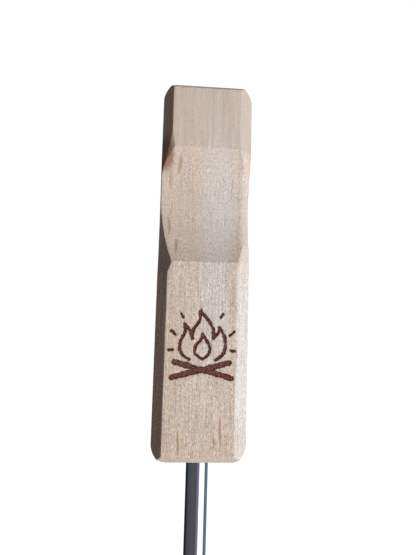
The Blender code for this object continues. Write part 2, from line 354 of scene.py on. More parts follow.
# Mineral streaks: middle across and along, half width, half length and strength
MINERAL_STREAKS = (
    (-9.8, 37.3, 0.75, 3.2, 0.62),
    (-13.0, 32.0, 0.6, 3.8, 0.5),
    (-13.0, 15.2, 0.6, 3.5, 0.6),
    (-10.2, 7.6, 0.6, 2.8, 0.7),
    (9.6, 30.0, 0.4, 4.4, 0.35),
    (-7.1, -60.2, 0.34, 4.6, 0.95),
    (4.7, -59.8, 0.36, 2.4, 0.75),
    (6.9, -56.5, 0.32, 5.8, 0.9),
    (13.2, -59.8, 0.25, 2.8, 0.6),
)


def maple_material(handle):
    """Sanded hard maple: faint growth lines, a cooler band of painted sheen, ray flecks, streaks and a
    burnt mark, with painted shade on some edges.
    """
    material, nodes = new_material("maple_wood")
    place = nodes.place()
    x, y, z = nodes.split(place)
    across = x + (z - 22) * 0.35 + (nodes.grain(place, DRIFT) - 0.5) * 7

    # Growth lines, as noise on the distance across the board
    lines = nodes.noise(nodes.join(across, y * 0.012, z * 0.1), 0.55, 3).step(0.50, 0.72)
    broad = nodes.grain(place, BROAD)
    # A band of painted sheen across the middle, crisp on its left edge over the lower flat
    crisp = y.step(*BAND_EDGE)
    band = (across.step(-1.8, -0.4) * crisp + across.step(-5, 3) * (1 - crisp)) * across.step(13, 7)

    # Fibres and short ray flecks, both drawn out along the grain and plainest on the lower flat
    fibre = nodes.grain(place, FIBRE, 3)
    fleck = nodes.grain(place, FLECK, 1)
    fine = nodes.grain(place, FINE, 1)
    specks = nodes.grain(place, SPECK).step(0.55, 0.72)
    patchy = nodes.noise(place, 0.33).step(0.35, 0.65, 0.7, 1.25)
    front = z.step(*FRONT_BAND)
    plain = y.step(*LOWER_FLAT, 0.75, 1.1) * y.step(*UPPER_FLAT, 0.45, 1)
    lower = (plain * front + (1 - front) * 0.6) * patchy

    # Tints over the bare maple, some of them painted sheen and painted shade, each with how strongly it
    # shows
    right = x.step(*RIGHT_EDGE) * front
    color = handle.maple
    for factor, tint in (
        (lines * 0.30, handle.late_wood_and_shade),
        ((broad - 0.38) * 0.7, handle.late_wood_and_shade),
        # Painted sheen along the middle of the block
        (band * y.step(60, 30, 0.1, 0.8) * y.step(-46, -14, 0.1), handle.sheen_band),
        # Painted sheen on the lower right chamfer
        (right * y.step(8, -4, 0, 0.8), handle.chamfer_sheen),
        # Painted shade on the right chamfer, strongest above the scoop
        (right * (y.step(2, 10, 0, 0.5) + y.step(38, 44, 0, 0.5)), handle.wear_and_shade),
        # Painted shade: the left chamfer and side darker towards the butt
        (x.step(*LEFT_EDGE) * y.step(41, 50, 0, 0.2), handle.streak_and_shade),
        # Painted shade: the block darker towards the shaft end
        (y.step(-44, -62, 0, 0.22), handle.late_wood_and_shade),
    ):
        color = nodes.mix(factor, color, tint)

    # Light and dark specks, as a factor on the colour
    dots = (fleck - 0.5) * 1.1 + (fine - 0.5) * 0.9 + specks * 0.16
    shade = 0.98 + (fibre - 0.5) * (0.3 + lower * 0.5) + dots * lower
    inputs = {0: color, 1: nodes.join(shade, shade, shade)}
    color = nodes.make("ShaderNodeVectorMath", inputs, operation="MULTIPLY")

    # Mineral streaks: thin spindles that wander a little
    wander = (nodes.grain(place, WANDER) - 0.5) * 1.6
    for at_x, at_y, half_width, half_length, strength in MINERAL_STREAKS:
        beside = (x - at_x + wander) / half_width
        along = (y - at_y) / half_length
        inside = (beside * beside + along * along).step(1.5, 0.2)
        color = nodes.mix(inside * strength, color, handle.streak_and_shade)

    # The left edge beside the scoop's upper ridge is browner and darker
    offsets = [(v - at) * fade for v, at, fade in zip((x, y, z), BROWNER_EDGE_AT, BROWNER_EDGE_FADE)]
    color = nodes.mix(nodes.length(nodes.join(*offsets)).step(5.4, 2.4), color, handle.browner_edge, "MULTIPLY")

    # End grain on the two sawn ends: rings and pores
    ends = abs(y).step(*SAWN_ENDS)
    from_pith = nodes.length(nodes.join(x - PITH[0], z - PITH[1], 0))
    rings = (from_pith % RING).step(RING / 2, RING - 0.1)
    pores = nodes.grain(place, PORE).step(0.52, 0.7)
    sawn = nodes.mix((rings + pores) * 0.35, color, handle.end_grain)
    color = nodes.mix(ends * 0.9, color, sawn)

    # The burnt mark: a toasted halo, a charred edge and a browner floor
    burn = nodes.attribute("burn")
    burn = burn + (nodes.grain(place, RAGGED) - 0.5) * burn.step(0.05, 0.3, 0, 0.75)
    soot = nodes.noise(place, 1.7, 3)
    toasted = burn.step(0.02, 0.30, 0, 0.42) * soot.step(0.3, 0.65)
    color = nodes.mix(toasted, color, handle.streak_and_shade)
    charred = nodes.mix(burn.step(0.62, 0.98) * soot.step(0.3, 0.7), handle.char, handle.scorch)
    scorched = burn.step(0.30, 0.52)
    color = nodes.mix(scorched, color, charred)

    relief = fibre * 0.5 + fleck * 0.35 * lower + fine * 0.3 - lines * 0.12 + pores * ends * 0.3
    finish_material(
        nodes,
        Base_Color=color,
        Roughness=0.50 + fibre * 0.14 + lines * 0.05 + scorched * 0.2,
        Specular_IOR_Level=0.3,
        Normal=nodes.bump(relief, 0.28, 0.00022),
    )
    return material


# Campfire mark: strokes as (half width, points), in millimetres about its middle

MARK_MIDDLE = Vector((0.1, -27.6))
MARK_HALF = Vector((12.2, 12.6))
CURVE_STEPS = 6
# A burnt stroke wanders, swells and thins, and slopes over a short width at its edge
STROKE_WANDER = 0.26
STROKE_SWELL = 0.34
STROKE_EDGE = 0.9
FLAME_SIDES = (
    (0.50, ((-4.5, -4.6), (-7.3, -2.2), (-7.7, 1.3), (-6.1, 4.8), (-6.3, 7.6))),
    (0.46, ((-6.3, 7.6), (-4.4, 5.2), (-3.6, 2.6))),
    (0.52, ((-3.6, 2.6), (-3.3, 5.6), (-1.3, 8.7), (-0.9, 11.9))),
    (0.52, ((-0.9, 11.9), (1.7, 9.2), (3.5, 6.0), (3.7, 2.9))),
    (0.46, ((3.7, 2.9), (5.2, 4.6), (5.7, 6.6))),
    (0.50, ((5.7, 6.6), (7.5, 3.4), (7.9, -0.2), (6.8, -2.8), (4.5, -4.6))),
    (0.44, ((-0.1, -4.4), (-2.5, -2.4), (-2.3, 0.2), (-0.5, 2.4), (-0.1, 4.3))),
    (0.44, ((-0.1, 4.3), (1.5, 1.9), (2.6, -0.6), (2.0, -2.9), (-0.1, -4.4))),
)
LOGS = (
    (0.92, ((-10.2, -10.6), (-4.0, -8.9), (3.0, -7.1), (9.3, -5.4))),
    (0.92, ((10.2, -10.6), (4.0, -8.9), (-3.0, -7.1), (-9.3, -5.4))),
)
SPARKS = (
    (0.40, ((-11.6, -1.4), (-10.0, -1.3))),
    (0.40, ((11.6, -1.4), (10.0, -1.3))),
    (0.40, ((-10.9, 5.2), (-9.4, 3.9))),
    (0.40, ((10.9, 5.2), (9.4, 3.9))),
    (0.38, ((-7.6, 11.0), (-6.9, 9.8))),
    (0.38, ((6.9, 11.3), (6.0, 9.9))),
)


def smooth_through(points, steps):
    """Points on a smooth curve through the given points."""
    points = [Vector(p) for p in points]
    ends = [points[0] * 2 - points[1], *points, points[-1] * 2 - points[-2]]
    made = [points[0]]
    for a, b, c, d in zip(ends, ends[1:], ends[2:], ends[3:]):
        for i in range(1, steps + 1):
            t = i / steps
            square = (a * 2 - b * 5 + c * 4 - d) * t**2
            cube = (b * 3 - a - c * 3 + d) * t**3
            made.append((b * 2 + (c - a) * t + square + cube) / 2)
    return made


def mark_strength(places):
    """How deep each place lies in the mark: 1 on a stroke's middle, 0.5 on its edge, 0 clear of it."""
    wobble = []
    for x, y in places:
        here = Vector((x, y, 0)) * 1.3
        wobble.append((noise.noise(here), noise.noise(here + Vector((7, 3, 5)))))
    spots = np.array(places) + STROKE_WANDER * np.array(wobble)
    depth = np.full(len(spots), -9.0)
    for half_width, points in FLAME_SIDES + LOGS + SPARKS:
        line = [p + MARK_MIDDLE for p in smooth_through(points, CURVE_STEPS)]
        for number, (a, b) in enumerate(zip(line, line[1:])):
            a, run = np.array(a), np.array(b - a)
            swell = noise.noise(Vector((number * 0.45, half_width * 9, points[0][0])))
            share = np.clip((spots - a) @ run / (run @ run), 0, 1)
            away = np.linalg.norm(spots - a - share[:, None] * run, axis=1)
            depth = np.maximum(depth, half_width * (1 + STROKE_SWELL * swell) - away)
    return np.clip(0.5 + depth / STROKE_EDGE, 0, 1)


# Handle

# Wood taken off the left chamfer, as (place along, depth), and three points of the small facet there
LEFT_EASE = (
    (-2.3, 0), (-0.2, 0.75), (1.7, 1.3), (8, 1.75), (15, 2.0), (20, 1.75), (25, 1.1), (31, 0.4), (37, 0),
)
FACET_POINTS = ((-12.8, 48.6, 25.0), (-11.4, 42.75, 25.0), (-13.9, 39.9, 23.5))
# How softly a ridge bends, how far from a ridge the rubbed corner grows, and how far the right chamfer's
# inner edge is eased
RIDGE_SOFT = 0.12 * MM
SOFT_CORNER_RUN = 9 * MM
CHAMFER_SOFT = 0.13 * MM
COUNTERSINK = 0.25 * MM
# Which way each plane of the block faces, in degrees from +X towards +Z
RIGHT, RIGHT_CHAMFER, FRONT, LEFT_CHAMFER, LEFT, BACK = 0, 45, 90, 135, 180, 270
BACK_CHAMFERS = (225, 315)
# Planes that round the right corner, and the two that also ease its chamfer's inner edge
ROUNDED = (9, 18, 27, 36, 54, 63, 72, 81)
EASED = (63, 72)
# Columns of faces on each plane's flat
COLUMNS = {RIGHT: 8, RIGHT_CHAMFER: 4, FRONT: 108, LEFT_CHAMFER: 4, LEFT: 8, BACK: 14}
# Degrees from one column to the next round an eased edge, and between the two corners of a flat's end
ARC_STEP = 11.25
TINY_ANGLE = 0.006
# Spacing of the sections over the mark, and the least between any two
MARK_SPACING = 0.22
LEAST_SPACING = 0.04 * MM
MERGE = 0.001 * MM
# How far below the front a point may lie and still belong to it
FRONT_SLACK = 0.05 * MM


def direction(angle):
    return Vector((cos(radians(angle)), sin(radians(angle))))


def clip_polygon(points, outward, support):
    """The part of a polygon within one straight line."""
    kept = []
    for here, after in zip(points, points[1:] + points[:1]):
        a = here.dot(outward) - support
        b = after.dot(outward) - support
        if a <= 0:
            kept.append(here)
        if a * b < 0:
            kept.append(here + (after - here) * (a / (a - b)))
    return kept


def eased_inset(distance, chamfer, easing):
    """How far a face has drawn in at a distance from the end: a chamfer with both edges eased."""
    if chamfer == 0:
        return easing - sqrt(easing**2 - (easing - min(distance, easing)) ** 2)
    turn = easing * (sqrt(2) - 1)
    bend = easing * (1 - 1 / sqrt(2))
    if distance < bend:
        return chamfer + turn - sqrt(easing**2 - (easing - distance) ** 2)
    if distance < chamfer - bend:
        return chamfer - distance
    if distance < chamfer + turn:
        return easing - sqrt(easing**2 - (chamfer + turn - distance) ** 2)
    return 0


def smooth_least(a, b, soft):
    share = min(max(0.5 + (b - a) / (2 * soft), 0), 1)
    return b * (1 - share) + a * share - soft * share * (1 - share)


def smooth_share(value, start, end):
    t = min(max((value - start) / (end - start), 0), 1)
    return t * t * (3 - 2 * t)


class HandleShape:
    """The block as cross-sections: each is what a set of planes leaves, with its corners eased."""

    def __init__(self, handle):
        self.handle = handle
        self.low, self.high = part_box("handle")
        self.middle = Vector((AXIS.x, AXIS.z))
        self.half = Vector((self.high.x - self.middle.x, self.high.z - self.middle.y))
        depth, half_run = handle.scoop_depth, handle.scoop_length / 2
        self.scoop_radius = (half_run**2 + depth**2) / (2 * depth)
        self.butt_ridge = self.high.y - handle.scoop_from_butt
        self.shaft_ridge = self.butt_ridge - handle.scoop_length
        self.scoop_middle = (self.butt_ridge + self.shaft_ridge) / 2
        eased = smooth_through(LEFT_EASE, 8)
        self.ease_at = [p[0] * MM for p in eased]
        self.ease = [max(p[1], 0) * MM for p in eased]
        a, b, c = (Vector(p) * MM for p in FACET_POINTS)
        normal = (b - a).cross(c - a).normalized()
        self.facet_normal = normal if normal.z > 0 else -normal
        self.facet_distance = self.facet_normal.dot(a)
        self.facet_length = sqrt(self.facet_normal.x**2 + self.facet_normal.z**2)
        facet_angle = np.degrees(np.arctan2(self.facet_normal.z, self.facet_normal.x))
        columns = {**COLUMNS, **dict.fromkeys(ROUNDED, 1), **dict.fromkeys(BACK_CHAMFERS, 3)}
        self.planes = sorted([*columns.items(), (float(facet_angle), 3)])

    def top(self, y):
        """Height of the front above the axis."""
        away = min(abs(y - self.scoop_middle), self.scoop_radius)
        floor_height = self.half.y - self.handle.scoop_depth
        scoop = floor_height + self.scoop_radius - sqrt(self.scoop_radius**2 - away**2)
        return smooth_least(scoop, self.half.y, RIDGE_SOFT)

    def support(self, angle, y):
        """Distance from the axis to the plane that faces angle."""
        handle = self.handle
        from_shaft, from_butt = y - self.low.y, self.high.y - y

        def drawn_in(shaft_chamfer, butt_chamfer, at_shaft=handle.edge_round, at_butt=handle.edge_round):
            inset = eased_inset(from_shaft, shaft_chamfer, at_shaft)
            return inset + eased_inset(from_butt, butt_chamfer, at_butt)

        if angle in (RIGHT, LEFT):
            wear_and_shade = handle.worn_side if angle == RIGHT else 0
            wear_and_shade *= smooth_share(y, self.shaft_ridge, self.scoop_middle)
            wear_and_shade *= smooth_share(y, self.butt_ridge, self.scoop_middle)
            corners = handle.shaft_corner, handle.butt_corner
            return self.half.x - wear_and_shade - drawn_in(*corners, handle.shaft_round, handle.butt_round)
        if angle in (FRONT, BACK):
            height = self.top(y) if angle == FRONT else self.half.y
            return height - drawn_in(handle.shaft_chamfer, handle.butt_chamfer)
        corner = self.half.x + self.half.y
        edge = drawn_in(0, 0)
        if angle == LEFT_CHAMFER:
            ease = float(np.interp(y, self.ease_at, self.ease))
            return (corner - handle.left_chamfer - ease) / sqrt(2) - edge
        if angle in BACK_CHAMFERS:
            return (corner - handle.back_chamfer) / sqrt(2) - edge
        if angle > FRONT:
            # The facet beside the ridge nearer the butt, as a line in this section
            if y < self.scoop_middle:
                return corner
            level = self.facet_distance - self.facet_normal.y * y - self.facet_normal.z * self.middle.y
            return level / self.facet_length
        # The right corner is rubbed round along the scoop
        run = SOFT_CORNER_RUN
        share = smooth_share(y, self.shaft_ridge - run / 4, self.shaft_ridge + run)
        share *= smooth_share(y, self.butt_ridge + run / 4, self.butt_ridge - run)
        radius = handle.soft_corner * share + MERGE
        out = direction(angle)
        soft = (self.half.x - radius) * out.x + (self.top(y) - radius) * out.y + radius
        chamfer = handle.right_chamfer * (1 - share) + handle.soft_corner * (2 - sqrt(2)) * share
        if angle == RIGHT_CHAMFER:
            return min(soft, (self.half.x + self.top(y) - chamfer) / sqrt(2)) - edge
        if angle in EASED:
            inner = Vector((self.half.x - chamfer, self.top(y)))
            return min(soft, inner.dot(out) - CHAMFER_SOFT * (1 - share)) - edge
        return soft

    def section(self, y):
        """Points round the block at y, as across and height from the axis."""
        easing = self.handle.edge_round
        polygon = [Vector((-1, -1)), Vector((1, -1)), Vector((1, 1)), Vector((-1, 1))]
        for angle, _ in self.planes:
            polygon = clip_polygon(polygon, direction(angle), self.support(angle, y) - easing)

        def rim(angle):
            out = direction(angle)
            return max(polygon, key=out.dot) + out * easing

        loop = []
        followers = self.planes[1:] + [(360, 0)]
        for (angle, columns), (following, _) in zip(self.planes, followers):
            start, end = rim(angle - TINY_ANGLE), rim(angle + TINY_ANGLE)
            loop += [start.lerp(end, i / columns) for i in range(columns + 1)]
            steps = max(1, round((following - angle) / ARC_STEP))
            loop += [rim(angle + (following - angle) * i / steps) for i in range(1, steps)]
        return loop

    def stations(self):
        """Where the cross-sections stand along the block."""
        low, high = self.low.y, self.high.y
        scoop, spans = self.handle.scoop_length, 48
        marked = floor(2 * MARK_HALF.y / MARK_SPACING)
        # Start, spacing and number of the sections in each run, in metres
        runs = [
            (low, 4 * MM, 34),
            (low, 0.12 * MM, 48),
            (high, -0.12 * MM, 48),
            (self.shaft_ridge, scoop / spans, spans),
            (self.shaft_ridge - 4 * MM, 0.4 * MM, 10),
            (self.butt_ridge, 0.5 * MM, 14),
            ((MARK_MIDDLE.y - MARK_HALF.y) * MM, MARK_SPACING * MM, marked),
            *((ridge - 0.6 * MM, 0.1 * MM, 13) for ridge in (self.shaft_ridge, self.butt_ridge)),
        ]
        kept = []
        for place in sorted(start + i * spacing for start, spacing, count in runs for i in range(count)):
            if low - MERGE < place < high + MERGE and (not kept or place - kept[-1] > LEAST_SPACING):
                kept.append(place)
        kept[-1] = high
        return kept


def join_rings(bm, first, second):
    """Faces between two rings of as many points."""
    for i in range(len(first)):
        j = (i + 1) % len(first)
        bm.faces.new((first[i], first[j], second[j], second[i]))


def fill_mesh(mesh, bm):
    """Turn the faces outwards and hand them to a mesh."""
    bmesh.ops.recalc_face_normals(bm, faces=bm.faces)
    bm.to_mesh(mesh)
    bm.free()


def build_handle_mesh(handle):
    """Loft the cross-sections, sink the mark, and close the block with its bore."""
    shape = HandleShape(handle)
    mesh = bpy.data.meshes.new("handle_maple")
    bm = bmesh.new()
    burn = bm.verts.layers.float.new("burn")

    def ring(points):
        return [bm.verts.new(p) for p in points]

    def close(loop, middle):
        centre = bm.verts.new(middle)
        for i in range(len(loop)):
            bm.faces.new((loop[i], loop[(i + 1) % len(loop)], centre))

    rings = []
    for y in shape.stations():
        rings.append(ring([(AXIS.x + p.x, y, AXIS.z + p.y) for p in shape.section(y)]))
    for first, second in zip(rings, rings[1:]):
        join_rings(bm, first, second)
    close(rings[-1], (AXIS.x, shape.high.y, AXIS.z))

    # The bore opens from the shaft end
    spokes = [Vector((v.co.x - AXIS.x, v.co.z - AXIS.z)).normalized() for v in rings[0]]
    last = rings[0]
    mouth, radius = shape.low.y, handle.bore_radius
    for depth, size in (
        (0, radius + COUNTERSINK), (COUNTERSINK, radius), (handle.bore_depth / 3, radius),
        (handle.bore_depth, radius),
    ):
        bored = ring([(AXIS.x + s.x * size, mouth + depth, AXIS.z + s.y * size) for s in spokes])
        join_rings(bm, last, bored)
        last = bored
    close(last, (AXIS.x, mouth + handle.bore_depth, AXIS.z))

    # The mark sinks into the front
    sunk = [
        v for v in bm.verts
        if v.co.z > shape.high.z - FRONT_SLACK
        and abs(v.co.x / MM - MARK_MIDDLE.x) < MARK_HALF.x
        and abs(v.co.y / MM - MARK_MIDDLE.y) < MARK_HALF.y
    ]
    strengths = mark_strength([(v.co.x / MM, v.co.y / MM) for v in sunk])
    for vert, strength in zip(sunk, strengths):
        vert[burn] = strength
        rough = 0.85 + 0.3 * noise.noise(vert.co / MM * 0.9)
        vert.co.z -= handle.mark_depth * smooth_share(strength, 0.35, 0.8) * rough

    bmesh.ops.remove_doubles(bm, verts=bm.verts, dist=MERGE)
    bmesh.ops.dissolve_degenerate(bm, dist=MERGE, edges=bm.edges)
    fill_mesh(mesh, bm)
    return mesh


# Geometry Nodes

HARD_EDGE = 30


def new_geometry_tree(name, inputs):
    """A Geometry Nodes tree with named inputs, and its group nodes."""
    tree = bpy.data.node_groups.new(name, "GeometryNodeTree")
    tree.interface.new_socket("Geometry", in_out="INPUT", socket_type="NodeSocketGeometry")
    for label, kind in inputs:
        tree.interface.new_socket(label, in_out="INPUT", socket_type=kind)
    tree.interface.new_socket("Geometry", in_out="OUTPUT", socket_type="NodeSocketGeometry")
    nodes = Nodes(tree)
    return nodes, nodes.make("NodeGroupInput")


def end_geometry_tree(nodes, shape, material):
    """Shade the shape smooth but for its hard edges, then give it its material."""
    angle = nodes.make("GeometryNodeInputMeshEdgeAngle")
    inputs = {0: angle, 1: radians(HARD_EDGE)}
    soft = nodes.make("FunctionNodeCompare", inputs, data_type="FLOAT", operation="LESS_THAN")
    smooth = nodes.make("GeometryNodeSetShadeSmooth", {0: shape, 2: True}, domain="FACE")
    edged = nodes.make("GeometryNodeSetShadeSmooth", {0: smooth, 2: soft}, domain="EDGE")
    real = nodes.make("GeometryNodeRealizeInstances", {0: edged})
    painted = nodes.make("GeometryNodeSetMaterial", {"Geometry": real, "Material": material})
    nodes.make("NodeGroupOutput", {0: painted})
    return nodes.tree


def turning_tree():
    """Turns a line of (radius, 0, along) points about the Z axis, then lays it along -Y."""
    nodes, given = new_geometry_tree(
        "Turned piece",
        [("Sides", "NodeSocketInt"), ("Foot", "NodeSocketVector"), ("Material", "NodeSocketMaterial")],
    )
    profile, sides = given.out("Geometry"), given.out("Sides")
    count = nodes.make("GeometryNodeAttributeDomainSize", {0: profile}).out("Point Count")
    columns = sides + 1
    grid = nodes.make("GeometryNodeMeshGrid", {"Vertices X": count + 1, "Vertices Y": columns})
    index = nodes.make("GeometryNodeInputIndex")
    row = (index // columns) % count
    turn = (index % columns) / sides * (2 * pi)
    position = nodes.make("GeometryNodeInputPosition")
    inputs = {0: profile, "Value": position, "Index": row}
    sampled = nodes.make("GeometryNodeSampleIndex", inputs, data_type="FLOAT_VECTOR")
    radius, _, along = nodes.split(sampled)
    wrapped = nodes.join(radius * turn.math("COSINE", turn), -1 * along, radius * turn.math("SINE", turn))
    turned = nodes.make("GeometryNodeSetPosition", {0: grid, "Position": wrapped})
    placed = nodes.make("GeometryNodeTransform", {0: turned, "Translation": given.out("Foot")})
    merged = nodes.make("GeometryNodeMergeByDistance", {0: placed, "Distance": MERGE})
    return end_geometry_tree(nodes, merged, given.out("Material"))


def wire_tree():
    """Sweeps a round wire along a path whose points hold their own thickness."""
    nodes, given = new_geometry_tree(
        "Swept wire",
        [("Radius", "NodeSocketFloat"), ("Sides", "NodeSocketInt"), ("Material", "NodeSocketMaterial")],
    )

    def measure(curve, output, name):
        value = nodes.make("GeometryNodeSplineParameter").out(output)
        inputs = {0: curve, "Name": name, "Value": value}
        return nodes.make("GeometryNodeStoreNamedAttribute", inputs, data_type="FLOAT", domain="POINT")

    path = nodes.make("GeometryNodeMeshToCurve", {0: given.out("Geometry")})
    inputs = {"Resolution": given.out("Sides"), "Radius": given.out("Radius")}
    circle = nodes.make("GeometryNodeCurvePrimitiveCircle", inputs)
    thickness = nodes.make("GeometryNodeInputNamedAttribute", {"Name": "thickness"}, data_type="FLOAT")
    swept = nodes.make("GeometryNodeCurveToMesh", {
        "Curve": measure(path, "Length", "along"), "Profile Curve": measure(circle, "Factor", "round"),
        "Scale": thickness, "Fill Caps": True,
    })
    merged = nodes.make("GeometryNodeMergeByDistance", {0: swept, "Distance": MERGE})
    return end_geometry_tree(nodes, merged, given.out("Material"))


def line_mesh(name, points):
    """A mesh of one open line through the points."""
    mesh = bpy.data.meshes.new(name)
    mesh.from_pydata(points, [(i, i + 1) for i in range(len(points) - 1)], [])
    return mesh


def new_object(name, data):
    """An object in the scene."""
    thing = bpy.data.objects.new(name, data)
    bpy.context.scene.collection.objects.link(thing)
    return thing


def grow(name, mesh, tree, values, body):
    """Run a Geometry Nodes tree on a mesh and keep the result as a plain piece on a body."""
    thing = new_object(name, mesh)
    modifier = thing.modifiers.new("shape", "NODES")
    modifier.node_group = tree
    sockets = {s.name: s.identifier for s in tree.interface.items_tree if s.in_out == "INPUT"}
    for label, value in values.items():
        modifier[sockets[label]] = value
    bpy.context.view_layer.update()
    evaluated = thing.evaluated_get(bpy.context.evaluated_depsgraph_get())
    made = bpy.data.meshes.new_from_object(evaluated)
    thing.modifiers.remove(modifier)
    if not made.polygons:
        raise RuntimeError(f"{name}: the tree made no faces")
    bm = bmesh.new()
    bm.from_mesh(made)
    fill_mesh(made, bm)
    made.name = name
    thing.data = made
    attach(thing, body)
    return thing


def turn_piece(name, profile, node, tree, values, body):
    """Turn a profile of (radius, along) points about the shaft's axis, along -Y from a CAD node's end."""
    mesh = line_mesh(name, [(radius, 0, along) for radius, along in profile])
    foot = Vector((AXIS.x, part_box(node)[1].y, AXIS.z))
    return grow(name, mesh, tree, {**values, "Foot": foot}, body)


def add_piece(name, mesh, material, body):
    thing = new_object(name, mesh)
    mesh.materials.append(material)
    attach(thing, body)
    return thing


# Shaft

# Stretch of the steel's marks, in cycles per millimetre
DRAWN = (5.5, 0.035, 5.5)
HAIR = (16, 0.09, 16)
SMUDGE = (0.22, 0.07, 0.22)
GROUND = (0.7, 9, 0.7)
# Radii that soften a turned edge, and the small chamfers at the tubes' and the rod's ends
LIP_SOFT = 0.09 * MM
FLANGE_SOFT = 0.06 * MM
END_CHAMFER = 0.2 * MM
# Rings that keep long faces short enough to shade evenly
SPANS = 12


def section_radius(shaft, number):
    """Outer radius of a section, counted from 0 for the fixed outer tube."""
    return shaft.outer_radius - number * (shaft.wall + shaft.slide_gap)


def arc(middle, radius, start, end, steps):
    """Points on an arc of a profile, from one angle to another in degrees."""
    centre = Vector(middle)
    return [centre + direction(start + (end - start) * i / steps) * radius for i in range(steps + 1)]


def section_profile(shaft, number, length):
    """One section's profile as (radius, along) points: outside from its mouth, then the inside."""
    radius = section_radius(shaft, number)
    last = number == len(SECTIONS) - 1
    points = []
    if last:
        points += [Vector((0, length)), Vector((radius - END_CHAMFER, length))]
        points += [Vector((radius, length - END_CHAMFER))]
    else:
        lip = section_radius(shaft, number + 1) + shaft.lip_gap
        points += [Vector((lip, length - shaft.lip_length))]
        points += arc((lip + LIP_SOFT, length - LIP_SOFT), LIP_SOFT, 180, 90, 4)
        rim = shaft.lip_round
        points += arc((radius - rim, length - rim), rim, 90, 0, 8)
    foot = shaft.flange_length if number else END_CHAMFER
    start = points[-1].y
    points += [Vector((radius, start + (foot - start) * i / SPANS)) for i in range(1, SPANS + 1)]
    if number:
        flange = section_radius(shaft, number - 1) - shaft.wall - shaft.flange_gap - FLANGE_SOFT
        points += arc((flange, shaft.flange_length - FLANGE_SOFT), FLANGE_SOFT, 90, 0, 3)
        points += arc((flange, FLANGE_SOFT), FLANGE_SOFT, 0, -90, 3)
    else:
        points += [Vector((radius - END_CHAMFER / 2, 0))]
    if last:
        points += [Vector((0, 0))]
    else:
        bore = radius - shaft.wall
        points += [Vector((bore, 0)), Vector((bore, length - shaft.lip_length))]
    return points


def steel_material(shaft):
    """Polished stainless tube with fine drawing marks along it and a few handling scuffs."""
    material, nodes = new_material("shaft_steel")
    place = nodes.place()
    drawn = nodes.grain(place, DRAWN, 3)
    hair = nodes.grain(place, HAIR)
    smudge = nodes.grain(place, SMUDGE, 3).step(0.42, 0.75)
    bright = nodes.mix(drawn.step(0.3, 0.75) * 0.5, shaft.steel, (0.70, 0.71, 0.72))
    color = nodes.mix(smudge * 0.18, bright, (0.44, 0.46, 0.48))
    finish_material(
        nodes,
        Base_Color=color,
        Metallic=1.0,
        Roughness=0.085 + hair * 0.05 + smudge * 0.05,
        Normal=nodes.bump(drawn * 0.7 + hair * 0.3, 0.012, 0.00002),
    )
    return material


# Fork

# How deep braze reaches into what it joins
BURIED = 0.1 * MM
COLLAR_SOFT = 0.12 * MM
# Steps of the wire's path along half its base, each bend and each prong, then points as shares of the
# ground length and as degrees round the blunt nose
BASE_STEPS, BEND_STEPS, PRONG_STEPS = 4, 20, 8
GROUND_SHARES = (0.04, 0.1, 0.3, 0.6, 0.9)
NOSE_TURNS = (0, 30, 55, 75)


def collar_radius():
    low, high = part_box("fork_collar")
    return (high.x - low.x) / 2


def wire_path(fork):
    """The fork's wire from one point to the other, as (across, out, thickness) rows."""
    low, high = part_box("fork_wire")
    across = (high.x - low.x) / 2 - fork.wire_radius
    length = (high.y - low.y) - fork.wire_radius
    start = collar_radius() + fork.straight
    shoulder = across - start
    half = [(start * i / BASE_STEPS, 0, 1) for i in range(BASE_STEPS + 1)]
    for i in range(1, BEND_STEPS + 1):
        turn = pi / 2 * i / BEND_STEPS
        half.append((start + shoulder * sin(turn), shoulder * (1 - cos(turn)), 1))
    root, ground = shoulder, length - fork.point_length
    half += [(across, root + (ground - root) * i / PRONG_STEPS, 1) for i in range(1, PRONG_STEPS + 1)]
    tip = fork.point_radius / fork.wire_radius
    for share in GROUND_SHARES:
        half.append((across, ground + fork.point_length * share, 1 - (1 - tip) * share))
    nose = fork.point_radius
    for turn in NOSE_TURNS:
        lean = radians(turn)
        half.append((across, length - nose * (1 - sin(lean)), tip * cos(lean)))
    return [(-a, o, t) for a, o, t in reversed(half[1:])] + half


def wire_mesh(fork):
    path = wire_path(fork)
    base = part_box("fork_wire")[1].y - fork.wire_radius
    mesh = line_mesh("fork_wire_path", [(AXIS.x + a, base - o, AXIS.z) for a, o, _ in path])
    mesh.attributes.new("thickness", "FLOAT", "POINT").data.foreach_set("value", [t for _, _, t in path])
    return mesh


def wire_material(fork):
    """Drawn stainless wire: fine marks along it, brighter ground points with marks across."""
    material, nodes = new_material("fork_steel")
    place = nodes.place()
    y = nodes.split(place)[1]
    turn = nodes.attribute("round") * (2 * pi)
    along = nodes.attribute("along") * 1000
    wrapped = nodes.join(turn.math("COSINE", turn) * 3.2, turn.math("SINE", turn) * 3.2, along * 0.05)
    drawn = nodes.noise(wrapped, 2.2, 3)
    ground_from = (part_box("fork_wire")[0].y + fork.point_length) / MM
    ground = y.step(ground_from + 0.2, ground_from - 0.4)
    wheel = nodes.grain(place, GROUND)
    dull = nodes.noise(place, 0.25, 3).step(0.4, 0.7)
    color = nodes.mix(dull * 0.4, fork.steel, (0.43, 0.44, 0.46))
    color = nodes.mix(ground, color, fork.ground)
    finish_material(
        nodes,
        Base_Color=color,
        Metallic=1.0,
        Roughness=0.15 + drawn * 0.10 + ground * (wheel * 0.22),
        Normal=nodes.bump(drawn * (1 - ground) * 0.5 + wheel * ground, 0.05, 0.00003),
    )
    return material


def collar_profile(fork, length):
    """The collar with its chamfers' edges eased, closed on the axis at both ends."""
    radius, leg, soft = collar_radius(), fork.collar_chamfer, COLLAR_SOFT
    bend = soft * (sqrt(2) - 1)
    front = arc((radius - leg - bend, length - soft), soft, 90, 45, 3)
    front += arc((radius - soft, length - leg - bend), soft, 45, 0, 3)
    rear = [Vector((p.x, length - p.y)) for p in reversed(front)]
    return [Vector((0, length)), *front, *rear, Vector((0, 0))]


